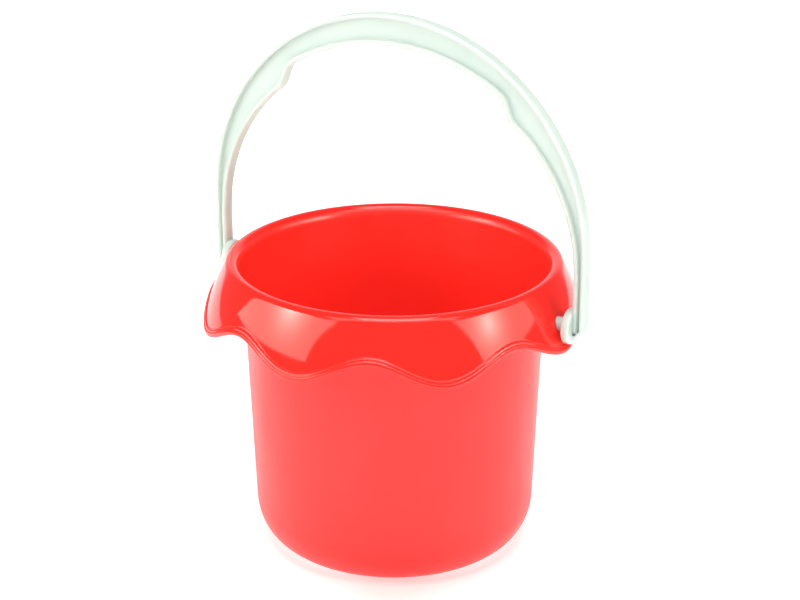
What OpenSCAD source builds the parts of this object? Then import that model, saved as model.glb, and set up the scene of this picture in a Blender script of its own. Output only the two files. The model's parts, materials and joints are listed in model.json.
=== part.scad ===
// Sand bucket with a rolled lip, a scalloped skirt and a swinging snap-in handle.
// Two mouldings: the bucket, drawn as a cup and a skirt that meet at the lip's crest, and the handle.
// +Z is up, the bucket stands on z = 0, and the handle swings about the X axis.

/* [Bucket] */
// Height from the floor to the top of the rolled lip
bucket_h = 150; // [135:1:170]
// Outside radius of the wall where the bottom corner starts
wall_low_r = 71.5; // [68:0.1:74]
// Height from which the wall leans out more, up to the lip
upper_wall_z = 120; // [110:1:128]
// Lean of that upper part of the wall, from vertical
upper_lean = 8; // [6:0.5:10]
// Wall thickness
wall_t = 1.9; // [1.6:0.1:2.4]
// Bottom corner, measured across
corner_r = 16.5; // [10:0.5:20]
// Bottom corner, measured up the wall
corner_h = 22; // [12:0.5:26]
// Radius of the shallow recess under the base
recess_r = 46; // [30:1:50]
// Depth of the recess under the base
recess_h = 0.8; // [0.4:0.1:1.2]

/* [Lip] */
// Radius of the circle that the rolled lip's centre follows
lip_r = 81.2; // [80:0.1:83]
// Radius of the roll itself
lip_roll_r = 3.5; // [3:0.1:4]
// Radius of the larger curve that carries the roll down into the wall
lip_blend_r = 9; // [7:0.5:11]
// Where on the roll that curve starts, as an angle from the outside
lip_blend_a = 145; // [135:1:150]

/* [Skirt] */
// Angle at which the skirt leaves the roll, from vertical
skirt_lean = 28.6; // [24:0.2:32]
// Outside radius of the skirt at its lowest point
hem_r = 96.1; // [93:0.1:97]
// Middle height of the wavy lower edge
hem_mid_z = 123.6; // [118:0.1:128]
// How far the wave rises and falls from its middle
hem_wave = 5.5; // [2:0.1:6]
// Number of scallops
scallops = 8; // [4:4:12]
// Height of the thick band along the lower edge
band_h = 3.7; // [2:0.1:5]
// How far the band stands out from the skirt
band_proud = 0.9; // [0.5:0.1:1.2]

/* [Pivot] */
// Height of the handle's pivot axis
pivot_z = 132; // [130:0.1:134]
// Diameter of the pegs
peg_d = 6.8; // [6:0.1:9]
// Running clearance between peg and hole, on the radius
peg_gap = 0.08; // [0.05:0.01:0.1]
// Diameter of the boss moulded round each hole, inside the skirt
boss_d = 14; // [12:0.5:16]
// Distance of the bosses' inner faces from the middle
boss_x = 86.4; // [85.5:0.1:87.5]

/* [Handle] */
// Radius of the arch's outer edge
arch_r = 105.5; // [104:0.1:108]
// Height of the arch's centre above the pivot axis
arch_rise = 35; // [30:0.5:45]
// Width of the handle's flanges, front to back
handle_w = 7; // [6:0.5:9]
// Thickness of the web between the flanges
web_t = 1.9; // [1.4:0.1:3]
// Thickness of the outer flange
outer_flange = 2; // [1.4:0.1:2.6]
// Thickness of the inner flange
inner_flange = 2.2; // [1.4:0.1:2.6]
// Thickness of each leg, side to side
leg_t = 5.8; // [5.4:0.1:7]
// How far the legs reach below the pivot axis
leg_drop = 4; // [4:0.5:7]
// Depth of the grip at the top of the arch
grip_h = 15.3; // [12:0.1:18]
// Diameter of the disc beside each leg
disc_d = 17.6; // [14:0.2:17.6]
// Distance of the discs' inner faces from the middle
disc_x = 96.2; // [96.1:0.1:98]

/* [Hidden] */
$fn = 96;
// Small extra length that carries a cut past a face, or a joined piece into the next
eps = 0.5;
floor_t = 2.2;

// Centre height of the lip's roll, and the radius of the hollow under it
lip_z = bucket_h - lip_roll_r;
roll_inner_r = lip_roll_r - wall_t;
// Centre of the larger curve inside the lip, as radius and height
blend_x = lip_r + (lip_roll_r - lip_blend_r) * cos(lip_blend_a);
blend_z = lip_z + (lip_roll_r - lip_blend_r) * sin(lip_blend_a);
// Outside radius of the wall where it starts to lean out more
upper_wall_h = blend_z + lip_blend_r * sin(upper_lean) - upper_wall_z;
upper_wall_r = blend_x - lip_blend_r * cos(upper_lean) - tan(upper_lean) * upper_wall_h + wall_t;

// The skirt's outer face is a parabola from the roll to the lowest point of the hem
skirt_top_r = lip_r + lip_roll_r * cos(skirt_lean);
skirt_top_z = lip_z + lip_roll_r * sin(skirt_lean);
hem_low_z = hem_mid_z - hem_wave;
skirt_drop = skirt_top_z - hem_low_z;
skirt_run = hem_r - skirt_top_r;
skirt_bow = tan(skirt_lean) * skirt_drop - skirt_run;
skirt_steps = 10;
arc_steps = 8;
corner_steps = 8;

// The wavy cuts and the band go round in this many steps
wave_steps = 144;
cutter_low_z = hem_low_z - 12;
cutter_in_r = upper_wall_r + 4;
cutter_out_r = hem_r + 10;

// The pegs' snap heads: where the catch face is, its rim, its lead-in cone and the slot that splits it
head_x = boss_x - 0.3;
head_d = peg_d + 2.2;
head_tip_d = peg_d - 1;
head_rim = 1.6;
head_lead = 2.6;
slot_w = 1.8;
slot_len = head_rim + head_lead + 2;

// The arch's inner edge is a large-radius grip that blends into a round shoulder at each side
grip_r = 108.5;
shoulder_r = 88.8;
shoulder_x = arch_r - leg_t - shoulder_r;
shoulder_rise = arch_rise - 10;
grip_from = 38;
grip_to = 47;
arch_step = 2.5;
leg_round = 3.4;

// A point on a circle, as [radius, height] or [x, height]
function on_circle(cx, cz, r, a) = [cx + r * cos(a), cz + r * sin(a)];

// Radius and height on the skirt's outer face, t = 0 at the roll and t = 1 at the lowest hem
function skirt_point(t) = [
    skirt_top_r + skirt_run * t + skirt_bow * t * (1 - t),
    skirt_top_z - skirt_drop * t
];

// Radius of the skirt's outer face at a height
function skirt_r(z) = skirt_point((skirt_top_z - z) / skirt_drop)[0];

// Height of the wavy lower edge at an angle round the bucket
function hem_z(a) = hem_mid_z - hem_wave * cos(scallops * a);

// Smooth step from 0 to 1
function smooth(t) = let (c = min(max(t, 0), 1)) c * c * (3 - 2 * c);

// One side of the wall's profile; d = 0 is the outside, d = wall_t the inside
function wall_side(d) = concat(
    [for (i = [0:corner_steps])
        let (a = -90 + 90 * i / corner_steps)
        [
            wall_low_r - corner_r + (corner_r - d) * cos(a),
            corner_h + (corner_h - (d > 0 ? floor_t : 0)) * sin(a)
        ]],
    [[upper_wall_r - d, upper_wall_z]],
    [for (i = [0:4])
        let (start = 180 - upper_lean, a = start + (lip_blend_a - start) * i / 4)
        on_circle(blend_x, blend_z, lip_blend_r - wall_t + d, a)]
);

function reverse(list) = [for (i = [len(list) - 1:-1:0]) list[i]];

// Closed profile of the base, the wall and the inner half of the lip, as radius and height
function cup_profile() = concat(
    [[0, recess_h], [recess_r, recess_h], [recess_r + recess_h, 0]],
    wall_side(0),
    [for (i = [1:4]) on_circle(lip_r, lip_z, roll_inner_r, lip_blend_a + (90 - lip_blend_a) * i / 4)],
    [for (i = [0:arc_steps - 1])
        on_circle(lip_r, lip_z, lip_roll_r, 90 + (lip_blend_a - 90) * i / arc_steps)],
    reverse(wall_side(wall_t)),
    [[0, floor_t]]
);

// Closed profile of the outer half of the lip and the skirt, down to the lowest hem
function skirt_profile() = concat(
    [for (i = [0:4]) on_circle(lip_r, lip_z, roll_inner_r, 90 - (90 - skirt_lean) * i / 4)],
    [for (i = [1:skirt_steps]) skirt_point(i / skirt_steps) - [wall_t / cos(skirt_lean * 0.7), 0]],
    [for (i = [skirt_steps:-1:0]) skirt_point(i / skirt_steps)],
    [for (i = [1:arc_steps])
        on_circle(lip_r, lip_z, lip_roll_r, skirt_lean + (90 - skirt_lean) * i / arc_steps)]
);

// Closed tube round the bucket, from a list of cross-sections that each have this many sides
module wavy_ring(sides, rings) {
    n = len(rings);
    points = [for (ring = rings) each ring];
    faces = [for (i = [0:n - 1], j = [0:sides - 1])
        let (k = (i + 1) % n, m = (j + 1) % sides)
        each [
            [i * sides + j, k * sides + j, k * sides + m],
            [i * sides + j, k * sides + m, i * sides + m]
        ]];
    polyhedron(points = points, faces = faces, convexity = 8);
}

// A profile point of radius and height, turned to an angle round the bucket
function round_axis(p, a) = [p[0] * cos(a), p[0] * sin(a), p[1]];

// Takes away everything of the skirt that lies under the wavy edge
module hem_cutter() {
    rings = [for (i = [0:wave_steps - 1])
        let (
            a = 360 * i / wave_steps,
            section = [
                [cutter_in_r, cutter_low_z],
                [cutter_in_r, hem_z(a)],
                [cutter_out_r, hem_z(a)],
                [cutter_out_r, cutter_low_z]
            ]
        )
        [for (p = section) round_axis(p, a)]];
    wavy_ring(4, rings);
}

// Thick band that follows the wavy edge on the outside of the skirt
module hem_band() {
    sink = wall_t / 2;
    rings = [for (i = [0:wave_steps - 1])
        let (
            a = 360 * i / wave_steps,
            low = hem_z(a) - 0.1,
            high = hem_z(a) + band_h,
            mid = (low + high) / 2,
            section = [
                [skirt_r(low) - sink, low],
                [skirt_r(high) - sink, high],
                [skirt_r(high) + band_proud * 0.6, high],
                [skirt_r(mid) + band_proud, mid],
                [skirt_r(low) + band_proud, low]
            ]
        )
        [for (p = section) round_axis(p, a)]];
    wavy_ring(5, rings);
}

// A solid that fills the bucket out to the middle of the skirt's thickness
module inside_skirt() {
    rotate_extrude() polygon(concat(
        [[upper_wall_r + 4, hem_low_z], [hem_r - wall_t / 2, hem_low_z]],
        [for (i = [skirt_steps - 1:-1:0]) skirt_point(i / skirt_steps) - [wall_t / 2, 0]],
        [[upper_wall_r + 4, skirt_top_z]]
    ));
}

// A cylinder along +X (side = 1) or -X (side = -1), on the pivot axis
module on_pivot(side, from_x, to_x, d, d_end) {
    mirror([side < 0 ? 1 : 0, 0, 0])
        translate([from_x, 0, pivot_z])
            rotate([0, 90, 0])
                cylinder(h = to_x - from_x, d1 = d, d2 = d_end);
}

module bucket() {
    color([0.90, 0.07, 0.06])
        rotate_extrude() polygon(cup_profile());
}

module skirt() {
    color([0.90, 0.07, 0.06])
        difference() {
            union() {
                difference() {
                    rotate_extrude() polygon(skirt_profile());
                    hem_cutter();
                }
                hem_band();
                for (side = [-1, 1])
                    intersection() {
                        on_pivot(side, boss_x, hem_r, boss_d, boss_d);
                        inside_skirt();
                    }
            }
            for (side = [-1, 1])
                on_pivot(side, boss_x - eps, hem_r, peg_d + 2 * peg_gap, peg_d + 2 * peg_gap);
        }
}

// Distance from the arch's centre to a circle on the handle's plane, in the direction a from vertical
function reach(cx, cz, r, a) =
    let (along = cx * sin(a) + cz * cos(a))
    along + sqrt(along * along - cx * cx - cz * cz + r * r);

// Radius of the arch's inner edge, in the direction a from vertical
function inner_r(a) =
    let (
        grip = reach(0, arch_r - grip_h - grip_r, grip_r, a),
        shoulder = reach(shoulder_x, shoulder_rise - arch_rise, shoulder_r, a)
    )
    grip + (shoulder - grip) * smooth((a - grip_from) / (grip_to - grip_from));

// Right half of the handle's outline, moved in by the flanges' thickness where inset = 1
function handle_half(inset) =
    let (
        out_x = arch_r - inset * outer_flange,
        in_x = arch_r - leg_t + inset * inner_flange,
        foot = -leg_drop + inset * outer_flange,
        r = leg_round * (1 - inset * 0.7)
    )
    concat(
        [for (a = [0:arch_step:90]) [out_x * sin(a), arch_rise + out_x * cos(a)]],
        [for (a = [0:-22.5:-90]) on_circle(out_x - r, foot + r, r, a)],
        [[in_x, foot], [in_x, shoulder_rise]],
        [for (a = [90:-arch_step:0])
            let (r = inner_r(a) + inset * inner_flange)
            [min(r * sin(a), in_x), arch_rise + r * cos(a)]]
    );

module handle_shape(inset) {
    for (side = [0, 1])
        mirror([side, 0])
            polygon(handle_half(inset));
}

// Extrudes a shape drawn on the handle's plane, between two depths
module across(from_y, to_y) {
    translate([0, to_y, pivot_z])
        rotate([90, 0, 0])
            linear_extrude(height = to_y - from_y)
                children();
}

// Disc beside the leg, peg through the skirt, and snap head behind the boss
module pivot_peg(side) {
    on_pivot(side, disc_x, arch_r - leg_t + eps, disc_d, disc_d);
    on_pivot(side, head_x - eps, disc_x + eps, peg_d, peg_d);
    on_pivot(side, head_x - head_rim, head_x, head_d, head_d);
    on_pivot(side, head_x - head_rim - head_lead, head_x - head_rim, head_tip_d, head_d);
}

module handle() {
    color([0.86, 0.92, 0.87])
        difference() {
            union() {
                difference() {
                    across(-handle_w / 2, handle_w / 2) handle_shape(0);
                    across(web_t / 2, handle_w / 2 + eps) handle_shape(1);
                    across(-handle_w / 2 - eps, -web_t / 2) handle_shape(1);
                }
                for (side = [-1, 1])
                    pivot_peg(side);
            }
            for (side = [-1, 1])
                translate([side * (head_x - head_rim - head_lead + slot_len / 2 - eps), 0, pivot_z])
                    cube([slot_len, slot_w, head_d + 2], center = true);
        }
}

bucket();
skirt();
handle();
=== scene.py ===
import json
import math

import bmesh
import bpy
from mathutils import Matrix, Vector


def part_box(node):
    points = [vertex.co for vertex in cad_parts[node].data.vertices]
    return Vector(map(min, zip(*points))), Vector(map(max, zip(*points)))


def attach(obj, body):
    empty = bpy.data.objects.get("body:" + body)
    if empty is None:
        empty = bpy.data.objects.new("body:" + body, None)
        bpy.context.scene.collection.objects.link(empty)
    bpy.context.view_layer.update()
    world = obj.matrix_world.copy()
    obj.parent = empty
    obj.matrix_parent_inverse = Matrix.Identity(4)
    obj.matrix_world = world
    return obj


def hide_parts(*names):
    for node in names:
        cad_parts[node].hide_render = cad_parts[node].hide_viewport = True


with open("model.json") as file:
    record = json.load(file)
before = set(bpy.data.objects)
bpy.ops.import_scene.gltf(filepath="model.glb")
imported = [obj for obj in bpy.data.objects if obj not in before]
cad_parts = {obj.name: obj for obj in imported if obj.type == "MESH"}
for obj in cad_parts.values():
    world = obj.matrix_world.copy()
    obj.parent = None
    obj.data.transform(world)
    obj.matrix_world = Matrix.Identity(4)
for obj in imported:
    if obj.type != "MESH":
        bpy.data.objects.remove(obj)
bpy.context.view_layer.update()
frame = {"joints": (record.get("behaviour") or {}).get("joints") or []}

MM = 0.001

# Driving sizes in millimetres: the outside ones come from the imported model
BUCKET_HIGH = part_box("bucket")[1]
SKIRT_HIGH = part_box("skirt")[1]
HANDLE_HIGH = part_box("handle")[1]
BUCKET_H = BUCKET_HIGH[2] / MM
PIVOT_Z = next(j for j in frame["joints"] if j["name"] == "handle_swing")["pos_m"][2] / MM

WALL_T = 1.9
WALL_LOW_R = 71.5
UPPER_WALL_Z = 120.0
UPPER_LEAN = math.radians(8)
BEND_FROM = 0.93
BEND_TO = 0.28
CORNER_R = 16.5
CORNER_H = 22.0
FLOOR_T = 2.2
RECESS_R = 46.0
RECESS_H = 0.8

LIP_ROLL_R = 3.5
LIP_R = 81.2
LIP_Z = BUCKET_H - LIP_ROLL_R
LIP_BLEND_R = 9.0
LIP_BLEND_A = math.radians(145)
BLEND_X = LIP_R + (LIP_ROLL_R - LIP_BLEND_R) * math.cos(LIP_BLEND_A)
BLEND_Z = LIP_Z + (LIP_ROLL_R - LIP_BLEND_R) * math.sin(LIP_BLEND_A)
UPPER_WALL_H = BLEND_Z + LIP_BLEND_R * math.sin(UPPER_LEAN) - UPPER_WALL_Z
UPPER_WALL_R = (BLEND_X - LIP_BLEND_R * math.cos(UPPER_LEAN)
                - math.tan(UPPER_LEAN) * UPPER_WALL_H + WALL_T)

BAND_PROUD = 0.9
SKIRT_LEAN = math.radians(28.6)
SCALLOPS = 8
HEM_MID_Z = 123.6
HEM_WAVE = 5.5
HEM_R = SKIRT_HIGH[1] / MM - BAND_PROUD
SKIRT_TOP_R = LIP_R + LIP_ROLL_R * math.cos(SKIRT_LEAN)
SKIRT_TOP_Z = LIP_Z + LIP_ROLL_R * math.sin(SKIRT_LEAN)
SKIRT_DROP = SKIRT_TOP_Z - (HEM_MID_Z - HEM_WAVE)
SKIRT_RUN = HEM_R - SKIRT_TOP_R
SKIRT_BOW = math.tan(SKIRT_LEAN) * SKIRT_DROP - SKIRT_RUN

ARCH_R = HANDLE_HIGH[0] / MM
ARCH_RISE = HANDLE_HIGH[2] / MM - PIVOT_Z - ARCH_R
HANDLE_W = 7.0
WEB_T = 1.9
LEG_T = 5.8
LEG_DROP = 4.0
LEG_ROUND = 3.4
LEG_EASE = 0.7
GRIP_H = 15.3
GRIP_R = 108.5
SHOULDER_R = 88.8
SHOULDER_DROP = 10
GRIP_END = 38
GRIP_FADE = 9
FLANGE_OUTER = 2.0
FLANGE_INNER = 2.2

PEG_D = 6.8
PEG_GAP = 0.08
BOSS_D = 14.0
BOSS_X = 86.4
BOSS_LEN = 3.6
HEAD_GAP = 0.3
HEAD_RIM = 1.6
HEAD_LEAD = 2.6
HEAD_PROUD = 1.1
SLIT_W = 1.8
DISC_D = 17.6
DISC_X = 96.2


# ---------------------------------------------------------------- mesh helpers

def new_object(name, verts, faces, materials):
    mesh = bpy.data.meshes.new(name)
    mesh.from_pydata([Vector(v) * MM for v in verts], [], faces)
    mesh.validate()
    bm = bmesh.new()
    bm.from_mesh(mesh)
    bmesh.ops.recalc_face_normals(bm, faces=bm.faces)
    bm.to_mesh(mesh)
    bm.free()
    obj = bpy.data.objects.new(name, mesh)
    bpy.context.collection.objects.link(obj)
    for material in materials:
        mesh.materials.append(material)
    return obj


def smooth_shade(obj, angle=38):
    mesh = obj.data
    mesh.polygons.foreach_set("use_smooth", [True] * len(mesh.polygons))
    mesh.set_sharp_from_angle(angle=math.radians(angle))


def apply_boolean(target, tool, operation):
    mod = target.modifiers.new("cut", "BOOLEAN")
    mod.operation = operation
    mod.solver = "EXACT"
    mod.object = tool
    deps = bpy.context.evaluated_depsgraph_get()
    mesh = bpy.data.meshes.new_from_object(target.evaluated_get(deps))
    target.modifiers.clear()
    target.data = mesh
    bpy.data.objects.remove(tool)


def lathe_x(name, profile, side, sides=64):
    """A closed solid turned about the pivot axis from (x, radius) points; both end radii are 0."""
    verts, faces = [], []
    inner = profile[1:-1]
    for x, r in inner:
        for k in range(sides):
            a = 2 * math.pi * k / sides
            verts.append((side * x, r * math.cos(a), PIVOT_Z + r * math.sin(a)))
    first = len(verts)
    verts += [(side * profile[0][0], 0, PIVOT_Z), (side * profile[-1][0], 0, PIVOT_Z)]
    for k in range(sides):
        m = (k + 1) % sides
        for i in range(len(inner) - 1):
            faces.append((i * sides + k, (i + 1) * sides + k, (i + 1) * sides + m, i * sides + m))
        last = (len(inner) - 1) * sides
        faces.append((first, k, m))
        faces.append((first + 1, last + m, last + k))
    return new_object(name, verts, faces, [])


def arc(cx, cy, r, a0, a1, steps):
    """Points on a circle from one angle to another, in degrees."""
    out = []
    for i in range(steps + 1):
        a = math.radians(a0 + (a1 - a0) * i / steps)
        out.append((cx + r * math.cos(a), cy + r * math.sin(a)))
    return out


# ---------------------------------------------------------------- materials

def srgb(r, g, b):
    def one(c):
        c /= 255
        return c / 12.92 if c <= 0.04045 else ((c + 0.055) / 1.055) ** 2.4
    return one(r), one(g), one(b), 1.0


class Nodes:
    """Short forms for building one material's node tree."""

    def __init__(self, name):
        self.material = bpy.data.materials.new(name)
        self.material.use_nodes = True
        self.tree = self.material.node_tree
        self.tree.nodes.clear()
        self.out = self.tree.nodes.new("ShaderNodeOutputMaterial")
        self.shader = self.tree.nodes.new("ShaderNodeBsdfPrincipled")
        self.join(self.shader.outputs[0], self.out.inputs[0])
        self.coords = self.tree.nodes.new("ShaderNodeTexCoord").outputs["Object"]

    def join(self, a, b):
        self.tree.links.new(a, b)

    def noise(self, scale, detail=3.0, rough=0.5, stretch=None):
        node = self.tree.nodes.new("ShaderNodeTexNoise")
        node.inputs["Scale"].default_value = scale
        node.inputs["Detail"].default_value = detail
        node.inputs["Roughness"].default_value = rough
        source = self.coords
        if stretch:
            mapping = self.tree.nodes.new("ShaderNodeMapping")
            mapping.inputs["Scale"].default_value = stretch
            self.join(source, mapping.inputs["Vector"])
            source = mapping.outputs[0]
        self.join(source, node.inputs["Vector"])
        return node.outputs["Fac"]

    def span(self, value, low_in, high_in, low_out, high_out):
        node = self.tree.nodes.new("ShaderNodeMapRange")
        node.inputs["From Min"].default_value = low_in
        node.inputs["From Max"].default_value = high_in
        node.inputs["To Min"].default_value = low_out
        node.inputs["To Max"].default_value = high_out
        self.join(value, node.inputs["Value"])
        return node.outputs[0]

    def blend(self, factor, a, b):
        node = self.tree.nodes.new("ShaderNodeMix")
        node.data_type = "RGBA"
        node.inputs[6].default_value = a
        node.inputs[7].default_value = b
        self.join(factor, node.inputs[0])
        return node.outputs[2]

    def cloudy(self, scale, a, b):
        """Two colours that drift into each other over the surface."""
        return self.blend(self.span(self.noise(scale, 2.0), 0.35, 0.65, 0.0, 1.0), a, b)

    def bump(self, height, strength, distance, under=None):
        node = self.tree.nodes.new("ShaderNodeBump")
        node.inputs["Strength"].default_value = strength
        node.inputs["Distance"].default_value = distance
        self.join(height, node.inputs["Height"])
        if under:
            self.join(under, node.inputs["Normal"])
        return node.outputs[0]

    def distance(self, point):
        node = self.tree.nodes.new("ShaderNodeVectorMath")
        node.operation = "DISTANCE"
        node.inputs[1].default_value = point
        self.join(self.coords, node.inputs[0])
        return node.outputs["Value"]

    def math(self, operation, a, b):
        node = self.tree.nodes.new("ShaderNodeMath")
        node.operation = operation
        self.join(a, node.inputs[0])
        if isinstance(b, float):
            node.inputs[1].default_value = b
        else:
            self.join(b, node.inputs[1])
        return node.outputs[0]

    def set(self, **values):
        for name, value in values.items():
            self.shader.inputs[name.replace("_", " ")].default_value = value


def red_plastic(name, base, shade, rough_low, rough_high, grain):
    n = Nodes(name)
    n.join(n.cloudy(22.0, base, shade), n.shader.inputs["Base Color"])
    smear = n.noise(90.0, 4.0, 0.6, (1.0, 1.0, 0.35))
    n.join(n.span(smear, 0.3, 0.7, rough_low, rough_high), n.shader.inputs["Roughness"])
    waves = n.bump(n.noise(30.0, 1.0), 0.05, 0.0006)
    fine = n.bump(n.noise(1400.0, 2.0), grain, 0.00008, waves)
    n.join(fine, n.shader.inputs["Normal"])
    n.set(IOR=1.49)
    return n.material


def handle_plastic():
    n = Nodes("handle_milky_plastic")
    n.join(n.cloudy(30.0, srgb(187, 202, 196), srgb(191, 206, 200)), n.shader.inputs["Base Color"])
    n.join(n.span(n.noise(110.0, 4.0, 0.6), 0.3, 0.7, 0.29, 0.38), n.shader.inputs["Roughness"])
    flow = n.bump(n.noise(45.0, 1.5), 0.06, 0.0006)
    n.join(n.bump(n.noise(1500.0, 2.0), 0.10, 0.00008, flow), n.shader.inputs["Normal"])
    n.set(IOR=1.49, Subsurface_Weight=0.8, Subsurface_Scale=0.009)
    n.shader.inputs["Subsurface Radius"].default_value = (1.0, 1.0, 0.9)
    return n.material


# Each red's two shades, its lowest and highest roughness, and the strength of its fine grain
GLOSS = red_plastic("bucket_gloss_red", srgb(249, 36, 28), srgb(251, 39, 31), 0.05, 0.09, 0.03)
SATIN = red_plastic("bucket_satin_red", srgb(246, 34, 30), srgb(248, 38, 34), 0.30, 0.40, 0.25)
# The inside red is mixed lighter than the outside reds: painted light, standing in for the glow of
# light through the thin walls
INSIDE_PAINTED_GLOW = red_plastic("bucket_inside_red_painted_glow", srgb(250, 49, 40), srgb(252, 52, 43), 0.19, 0.26, 0.08)
MILKY = handle_plastic()


# ---------------------------------------------------------------- bucket

def skirt_point(t):
    return (
        SKIRT_TOP_R + SKIRT_RUN * t + SKIRT_BOW * t * (1 - t),
        SKIRT_TOP_Z - SKIRT_DROP * t,
    )


def skirt_normal(t):
    across = SKIRT_RUN + SKIRT_BOW * (1 - 2 * t)
    length = math.hypot(SKIRT_DROP, across)
    return SKIRT_DROP / length, across / length


def hem_z(a):
    return HEM_MID_Z - HEM_WAVE * math.cos(SCALLOPS * a)


def on_skirt(t, out):
    """A point this far out from the skirt's outer face."""
    r, z = skirt_point(t)
    nr, nz = skirt_normal(t)
    return r + nr * out, z + nz * out


def between(p, q, t):
    return p[0] + (q[0] - p[0]) * t, p[1] + (q[1] - p[1]) * t


def curve(p, q, r, t):
    """A point on the curve from p to r that q pulls towards itself."""
    return between(between(p, q, t), between(q, r, t), t)


def wall_side(inside):
    """The wall's profile from the floor's edge to the roll, on the outside or the inside."""
    d = WALL_T if inside else 0.0
    drop = CORNER_H - (FLOOR_T if inside else 0.0)
    corner = [
        (WALL_LOW_R - CORNER_R + (CORNER_R - d) * math.cos(a), CORNER_H + drop * math.sin(a))
        for a in (math.radians(-90 + 90 * i / 14) for i in range(15))
    ]
    low, bend = corner[-1], (UPPER_WALL_R - d, UPPER_WALL_Z)
    blend_from, blend_to = 180 - math.degrees(UPPER_LEAN), math.degrees(LIP_BLEND_A)
    blend = arc(BLEND_X, BLEND_Z, LIP_BLEND_R - WALL_T + d, blend_from, blend_to, 8)
    under, over = between(low, bend, BEND_FROM), between(bend, blend[0], BEND_TO)
    wall = [between(low, under, i / 11) for i in range(1, 11)]
    soft_bend = [curve(under, bend, over, i / 8) for i in range(9)]
    upper = [between(over, blend[0], i / 4) for i in range(1, 4)]
    return corner + wall + soft_bend + upper + blend[:-1]


# The band's section: height above the hem along the skirt, and distance out from its face
BAND = (
    # inner edge, then the round lower edge
    [(0.5, -WALL_T), (0.15, -WALL_T + 0.15), (0.0, -WALL_T + 0.5)]
    + [(0.0, -0.3), (0.08, 0.1), (0.3, 0.45), (0.6, 0.68), (0.95, 0.82), (1.3, 0.88), (1.75, 0.9)]
    # lower bevel and step, then upper bevel and step
    + [(1.88, 0.89), (2.0, 0.87), (2.55, 0.76), (2.64, 0.7), (2.74, 0.61), (2.84, 0.59)]
    + [(3.4, 0.58), (3.5, 0.57), (3.6, 0.55), (4.2, 0.43), (4.3, 0.36), (4.5, 0.09)]
    + [(4.62, 0.01), (4.75, 0.0)]
)
SKIRT_ROWS = 18


def bucket_section(a):
    """Radius and height round the whole section at one angle, and the material of each stretch."""
    t_hem = (SKIRT_TOP_Z - hem_z(a)) / SKIRT_DROP
    per_t = math.hypot(SKIRT_DROP, SKIRT_RUN)
    roll_in, roll_out = math.degrees(LIP_BLEND_A), math.degrees(SKIRT_LEAN)
    band = [on_skirt(t_hem - s / per_t, out) for s, out in BAND]
    t_inner = t_hem - BAND[0][0] / per_t
    t_outer = t_hem - BAND[-1][0] / per_t
    parts = [
        ([(r, RECESS_H) for r in (8.0, 20.0, 32.0, 40.0, RECESS_R - 0.6)], 1),
        ([(RECESS_R, RECESS_H - 0.15), (RECESS_R + 0.35, 0.15), (RECESS_R + 0.9, 0.0)], 1),
        (wall_side(False), 1),
        (arc(LIP_R, LIP_Z, LIP_ROLL_R - WALL_T, roll_in, roll_out, 7), 1),
        ([on_skirt(t_inner * i / SKIRT_ROWS, -WALL_T) for i in range(1, SKIRT_ROWS)], 1),
        (band, 0),
        ([on_skirt(t_outer * (1 - i / SKIRT_ROWS), 0) for i in range(1, SKIRT_ROWS)], 0),
        (arc(LIP_R, LIP_Z, LIP_ROLL_R, roll_out, roll_in, 16), 0),
        (wall_side(True)[::-1], 2),
        ([(r, FLOOR_T) for r in (48.0, 40.0, 30.0, 20.0, 8.0)], 2),
    ]
    points, kinds = [], []
    for chunk, kind in parts:
        points += chunk
        kinds += [kind] * len(chunk)
    return points, kinds


def make_bucket():
    around = SCALLOPS * 40
    verts, faces, kinds = [], [], []
    for i in range(around):
        a = 2 * math.pi * i / around
        section, kinds = bucket_section(a)
        verts += [(r * math.cos(a), r * math.sin(a), z) for r, z in section]
    rows = len(kinds)
    slots = []
    for i in range(around):
        k = (i + 1) % around
        for j in range(rows - 1):
            faces.append((i * rows + j, k * rows + j, k * rows + j + 1, i * rows + j + 1))
            slots.append(kinds[j + 1])
    under, floor = len(verts), len(verts) + 1
    verts += [(0, 0, RECESS_H), (0, 0, FLOOR_T)]
    for i in range(around):
        k = (i + 1) % around
        faces.append((under, k * rows, i * rows))
        faces.append((floor, i * rows + rows - 1, k * rows + rows - 1))
        slots += [1, 2]
    obj = new_object("bucket_body", verts, faces, [GLOSS, SATIN, INSIDE_PAINTED_GLOW])
    obj.data.polygons.foreach_set("material_index", slots)
    for side in (-1, 1):
        r = BOSS_D / 2
        boss = lathe_x(
            "boss", [(BOSS_X, 0), (BOSS_X, r - 0.5), (BOSS_X + 0.15, r - 0.15), (BOSS_X + 0.5, r),
                     (BOSS_X + BOSS_LEN, r), (BOSS_X + BOSS_LEN, 0)], side)
        apply_boolean(boss, inside_skirt(), "INTERSECT")
        for material in (GLOSS, SATIN, INSIDE_PAINTED_GLOW):
            boss.data.materials.append(material)
        boss.data.polygons.foreach_set("material_index", [1] * len(boss.data.polygons))
        apply_boolean(obj, boss, "UNION")
        hole = lathe_x(
            "hole", [(BOSS_X - 2, 0), (BOSS_X - 2, PEG_D / 2 + PEG_GAP),
                     (HEM_R, PEG_D / 2 + PEG_GAP), (HEM_R, 0)], side)
        apply_boolean(obj, hole, "DIFFERENCE")
    smooth_shade(obj)
    return obj


def inside_skirt():
    """A solid out to the middle of the skirt's thickness, which trims the pivot bosses."""
    around = 160
    rows = [on_skirt(0.9 * i / 12, -WALL_T / 2) for i in range(13)]
    verts, faces = [], []
    for i in range(around):
        a = 2 * math.pi * i / around
        verts += [(r * math.cos(a), r * math.sin(a), z) for r, z in rows]
    n = len(rows)
    for i in range(around):
        k = (i + 1) % around
        for j in range(n - 1):
            faces.append((i * n + j, i * n + j + 1, k * n + j + 1, k * n + j))
    top = [i * n for i in range(around)]
    low = [i * n + n - 1 for i in range(around)]
    faces += [top, low[::-1]]
    return new_object("inside_skirt", verts, faces, [])


# ---------------------------------------------------------------- handle

def reach(cx, cz, r, a):
    along = cx * math.sin(a) + cz * math.cos(a)
    return along + math.sqrt(along * along - cx * cx - cz * cz + r * r)


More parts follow.
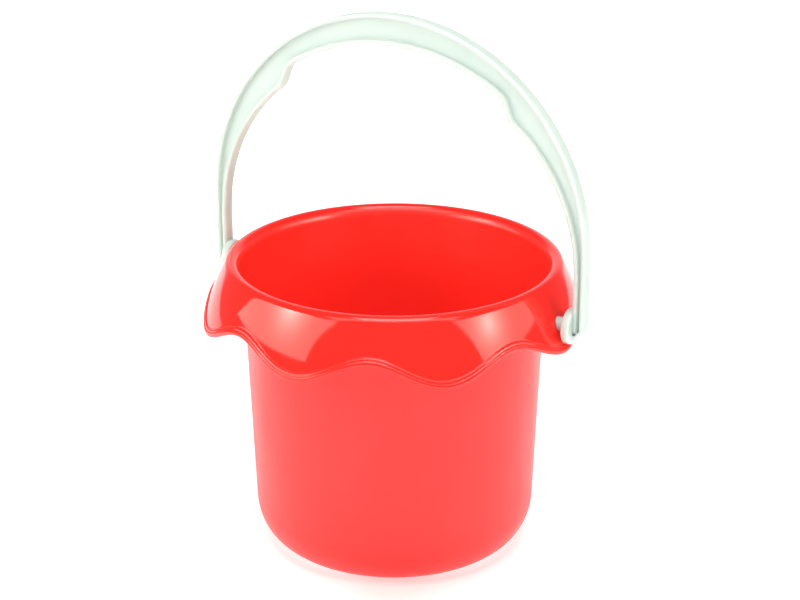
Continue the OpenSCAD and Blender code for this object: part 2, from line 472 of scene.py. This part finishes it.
def step(t):
    t = min(max(t, 0.0), 1.0)
    return t * t * (3 - 2 * t)


def inner_r(a):
    """Radius of the arch's inner edge in a direction from vertical."""
    grip = reach(0, ARCH_R - GRIP_H - GRIP_R, GRIP_R, a)
    shoulder = reach(ARCH_R - LEG_T - SHOULDER_R, -SHOULDER_DROP, SHOULDER_R, a)
    return grip + (shoulder - grip) * step((math.degrees(a) - GRIP_END) / GRIP_FADE)


def handle_half():
    """Matched outer and inner edge points of the right half, from the foot up to the crown."""
    foot = -LEG_DROP
    in_x = ARCH_R - LEG_T
    round_x = ARCH_R - LEG_ROUND
    ease_x = in_x + LEG_EASE
    outer = [(round_x - 0.2, foot)] + arc(round_x, foot + LEG_ROUND, LEG_ROUND, -80, 0, 8)
    inner = [(ease_x + 0.2, foot)] + arc(ease_x, foot + LEG_EASE, LEG_EASE, 260, 180, 8)
    rise = [0.03 + 0.97 * i / 11 for i in range(12)]
    for t in rise:
        outer.append((ARCH_R, foot + LEG_ROUND + (ARCH_RISE - foot - LEG_ROUND) * t))
        inner.append((in_x, foot + LEG_EASE + (ARCH_RISE - SHOULDER_DROP - foot - LEG_EASE) * t))
    count = 72
    for i in range(1, count + 1):
        a = math.radians(90 - 90 * i / count)
        outer.append((ARCH_R * math.sin(a), ARCH_RISE + ARCH_R * math.cos(a)))
        r = inner_r(a)
        inner.append((min(r * math.sin(a), in_x), ARCH_RISE + r * math.cos(a)))
    return outer, inner


def handle_outline():
    """The whole outline's outer and inner edges, both from the right foot to the left."""
    outer, inner = handle_half()
    outer_all = outer + [(-x, z) for x, z in outer[-2::-1]]
    inner_all = inner + [(-x, z) for x, z in inner[-2::-1]]
    return outer_all, inner_all


def inward_normals(loop):
    n = len(loop)
    out = []
    for i in range(n):
        ax, az = loop[i - 1]
        bx, bz = loop[(i + 1) % n]
        tx, tz = bx - ax, bz - az
        length = math.hypot(tx, tz)
        out.append((-tz / length, tx / length))
    return out


# Each ring of the H section: share of the flange's thickness, extra distance in,
# and share of the half width
H_RINGS = [
    (1.0, 0.55, WEB_T / HANDLE_W),
    (1.0, 0.28, WEB_T / HANDLE_W + 0.03),
    (1.0, 0.12, WEB_T / HANDLE_W + 0.12),
    (1.0, 0.0, 0.86),
    (1.0, -0.08, 0.94),
    (1.0, -0.26, 0.985),
    (1.0, -0.5, 1.0),
    (0.0, 0.6, 1.0),
    (0.0, 0.3, 0.975),
    (0.0, 0.1, 0.92),
    (0.0, 0.0, 0.8),
    (0.0, 0.0, 0.3),
]


def make_handle():
    outer, inner = handle_outline()
    n = len(outer)
    loop = outer + inner[::-1]
    normals = inward_normals(loop)
    thick = [FLANGE_OUTER] * n + [FLANGE_INNER] * n
    rings = [(s, e, -w) for s, e, w in H_RINGS] + [(s, e, w) for s, e, w in H_RINGS[::-1]]
    verts, faces = [], []
    for share, extra, width in rings:
        for (x, z), (nx, nz), t in zip(loop, normals, thick):
            d = share * t + extra
            verts.append((x + nx * d, width * HANDLE_W / 2, PIVOT_Z + z + nz * d))
    m = 2 * n
    for k in range(len(rings) - 1):
        for i in range(m):
            j = (i + 1) % m
            faces.append((k * m + i, k * m + j, (k + 1) * m + j, (k + 1) * m + i))
    for base in (0, (len(rings) - 1) * m):
        for i in range(n - 1):
            faces.append((base + i, base + i + 1, base + m - 2 - i, base + m - 1 - i))
    obj = new_object("handle_bail", verts, faces, [MILKY])
    for side in (-1, 1):
        apply_boolean(obj, pivot_peg(side), "UNION")
    smooth_shade(obj)
    return obj


def pivot_peg(side):
    """Disc, peg and split snap head as one turned solid."""
    head = BOSS_X - HEAD_GAP
    neck = head - HEAD_RIM
    tip = neck - HEAD_LEAD
    head_r = PEG_D / 2 + HEAD_PROUD
    tip_r = PEG_D / 2 - 0.5
    disc_r = DISC_D / 2
    outer = ARCH_R - LEG_T + 0.3
    profile = [
        (tip, 0), (tip, tip_r - 0.4), (tip + 0.4, tip_r),
        (neck, head_r - 0.1), (neck + 0.2, head_r), (head - 0.15, head_r),
        (head, head_r - 0.15), (head, PEG_D / 2), (DISC_X, PEG_D / 2),
        (DISC_X, disc_r - 0.6), (DISC_X + 0.1, disc_r - 0.25), (DISC_X + 0.35, disc_r - 0.05),
        (DISC_X + 0.7, disc_r), (outer - 1.0, disc_r), (outer - 0.6, disc_r - 0.1),
        (outer - 0.25, disc_r - 0.4), (outer - 0.05, disc_r - 0.8), (outer, disc_r - 1.3),
        (outer, 0),
    ]
    peg = lathe_x("peg", profile, side)
    length = HEAD_RIM + HEAD_LEAD + 2.0
    mid = side * (tip - 0.5 + length / 2)
    half = (length / 2, SLIT_W / 2, head_r + 1)
    corners = [(mid + i * half[0], j * half[1], PIVOT_Z + k * half[2])
               for i in (-1, 1) for j in (-1, 1) for k in (-1, 1)]
    box = [(0, 1, 3, 2), (4, 6, 7, 5), (0, 4, 5, 1), (2, 3, 7, 6), (0, 2, 6, 4), (1, 5, 7, 3)]
    apply_boolean(peg, new_object("slit", corners, box, []), "DIFFERENCE")
    peg.data.materials.append(MILKY)
    return peg


# ---------------------------------------------------------------- stage, lights and camera

# Stage sizes are in metres; BACKDROP and STUDIO are strengths of the world's light
CAMERA_AT = (0.46406, -0.80009, 0.48991)
CAMERA_TILT = math.radians(68.53)
CAMERA_TURN = math.radians(29.94)
CAMERA_LENS = 88.8
CAMERA_AZIMUTH = math.radians(30.1)
AIM_Z = 0.13
LIGHT_DISTANCE = 1.7
BACKDROP = 0.95
STUDIO = 0.22
FLOOR_HALF = 1.4
# Distance towards the camera of the point where the floor's painted shadow is darkest
PAINTED_SHADOW_AT = 0.068
PANEL_REACH = 0.9
PANEL_FALLOFF = 4.0


def toward_camera(distance):
    """A point on the floor this far from the middle, on the camera's side."""
    return distance * math.sin(CAMERA_AZIMUTH), -distance * math.cos(CAMERA_AZIMUTH), 0


def make_floor():
    """A white floor whose glow paints light and shade: it fills the shadow at the base, paints a
    shadow dip just in front, and whitens the floor further out.
    """
    size = FLOOR_HALF
    mesh = bpy.data.meshes.new("floor")
    corners = [(-size, -size, 0), (size, -size, 0), (size, size, 0), (-size, size, 0)]
    mesh.from_pydata(corners, [], [(0, 1, 2, 3)])
    floor = bpy.data.objects.new("floor", mesh)
    bpy.context.collection.objects.link(floor)
    n = Nodes("floor_white_painted_shade")
    n.set(Base_Color=(0.8, 0.8, 0.8, 1.0), Roughness=0.9, Specular_IOR_Level=0.0)
    n.set(Emission_Color=(1, 1, 1, 1))
    # The emission is painted light and shade: a fill of light at the base on the camera's side, a
    # painted shadow dipping around the point in front, and more light further out
    from_base = n.distance((0, 0, 0))
    from_front = n.distance(toward_camera(PAINTED_SHADOW_AT))
    at_base = n.span(from_base, 0.054, 0.066, 0.8, 0.0)
    in_front = n.span(from_front, 0.05, 0.125, 1.0, 0.0)
    glow = n.math("MULTIPLY", at_base, in_front)
    glow = n.math("ADD", glow, n.span(from_front, 0.01, 0.09, 0.05, 0.58))
    glow = n.math("ADD", glow, n.span(from_front, 0.09, 0.6, 0.0, 0.27))
    n.join(glow, n.shader.inputs["Emission Strength"])
    mesh.materials.append(n.material)


def on_dome(azimuth, elevation, distance):
    """A point round the object, with the azimuth measured from the camera's side."""
    a = CAMERA_AZIMUTH + math.radians(azimuth)
    e = math.radians(elevation)
    flat = distance * math.cos(e)
    return Vector((flat * math.sin(a), -flat * math.cos(a), AIM_Z + distance * math.sin(e)))


def softbox(name, azimuth, elevation, width, height, radiance):
    data = bpy.data.lights.new(name, "AREA")
    data.shape = "RECTANGLE"
    data.size = width
    data.size_y = height
    data.energy = radiance * math.pi * width * height
    obj = bpy.data.objects.new(name, data)
    obj.location = on_dome(azimuth, elevation, LIGHT_DISTANCE)
    aim = Vector((0, 0, AIM_Z)) - obj.location
    obj.rotation_euler = aim.to_track_quat("-Z", "Y").to_euler()
    bpy.context.collection.objects.link(obj)


def panel(name, left, right, hot, radiance, peak):
    """A side softbox: its left and right edges from low to high, and its hottest spot, all of them
    as the azimuth and elevation seen from the object."""
    columns, rows = 12, 12
    points = []
    for j in range(rows + 1):
        for i in range(columns + 1):
            across = between(curve(*left, j / rows), curve(*right, j / rows), i / columns)
            points.append(on_dome(*across, LIGHT_DISTANCE))
    faces = []
    for j in range(rows):
        for i in range(columns):
            k = j * (columns + 1) + i
            faces.append((k, k + 1, k + columns + 2, k + columns + 1))
    mesh = bpy.data.meshes.new(name)
    mesh.from_pydata(points, [], faces)
    obj = bpy.data.objects.new(name, mesh)
    bpy.context.collection.objects.link(obj)
    n = Nodes(name)
    n.set(Base_Color=(0, 0, 0, 1), Roughness=1.0, Specular_IOR_Level=0.0)
    n.set(Emission_Color=(1, 0.99, 0.87, 1))
    near = n.span(n.distance(on_dome(*hot, LIGHT_DISTANCE)), 0.0, PANEL_REACH, 1.0, 0.0)
    glow = n.span(n.math("POWER", near, PANEL_FALLOFF), 0.0, 1.0, radiance, peak)
    n.join(glow, n.shader.inputs["Emission Strength"])
    mesh.materials.append(n.material)
    obj.visible_camera = False


def make_world():
    """White all round for the eye; as light, a white backdrop behind and a dim studio in front."""
    world = bpy.data.worlds.new("studio")
    bpy.context.scene.world = world
    world.use_nodes = True
    tree = world.node_tree
    background = tree.nodes["Background"]
    background.inputs["Color"].default_value = (1.0, 1.0, 1.0, 1.0)
    coords = tree.nodes.new("ShaderNodeTexCoord")
    dot = tree.nodes.new("ShaderNodeVectorMath")
    dot.operation = "DOT_PRODUCT"
    dot.inputs[1].default_value = toward_camera(1)
    tree.links.new(coords.outputs["Generated"], dot.inputs[0])
    fade = tree.nodes.new("ShaderNodeMapRange")
    fade.interpolation_type = "SMOOTHSTEP"
    fade.inputs["From Min"].default_value = -0.95
    fade.inputs["From Max"].default_value = -0.74
    fade.inputs["To Min"].default_value = BACKDROP
    fade.inputs["To Max"].default_value = STUDIO
    tree.links.new(dot.outputs["Value"], fade.inputs["Value"])
    path = tree.nodes.new("ShaderNodeLightPath")
    eye = tree.nodes.new("ShaderNodeMix")
    eye.inputs[3].default_value = 1.0
    tree.links.new(path.outputs["Is Camera Ray"], eye.inputs[0])
    tree.links.new(fade.outputs[0], eye.inputs[2])
    tree.links.new(eye.outputs[0], background.inputs["Strength"])


def make_camera():
    data = bpy.data.cameras.new("camera")
    data.lens = CAMERA_LENS
    data.sensor_width = 36.0
    data.clip_start = 0.05
    cam = bpy.data.objects.new("camera", data)
    cam.location = CAMERA_AT
    cam.rotation_euler = (CAMERA_TILT, 0, CAMERA_TURN)
    bpy.context.collection.objects.link(cam)
    bpy.context.scene.camera = cam


make_camera()
make_world()
make_floor()
panel("softbox_left", [(-110, 4.5), (-101, 16), (-92, 27)], [(-52, 10), (-51, 22), (-37, 31)],
      hot=(-73, 27), radiance=3.3, peak=21.0)
panel("softbox_right", [(95, 10), (99, 17), (93, 25)], [(52, 7), (51, 21), (38, 31)],
      hot=(62, 23), radiance=2.4, peak=15.5)
softbox("overhead", 0, 72, 1.0, 1.0, 5.6)
softbox("front_top", 0, 51, 2.4, 0.7, 2.3)
bpy.context.scene.view_settings.view_transform = "Standard"

bucket = make_bucket()
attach(bucket, "bucket")
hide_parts("bucket", "skirt")

handle = make_handle()
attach(handle, "handle")
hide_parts("handle")
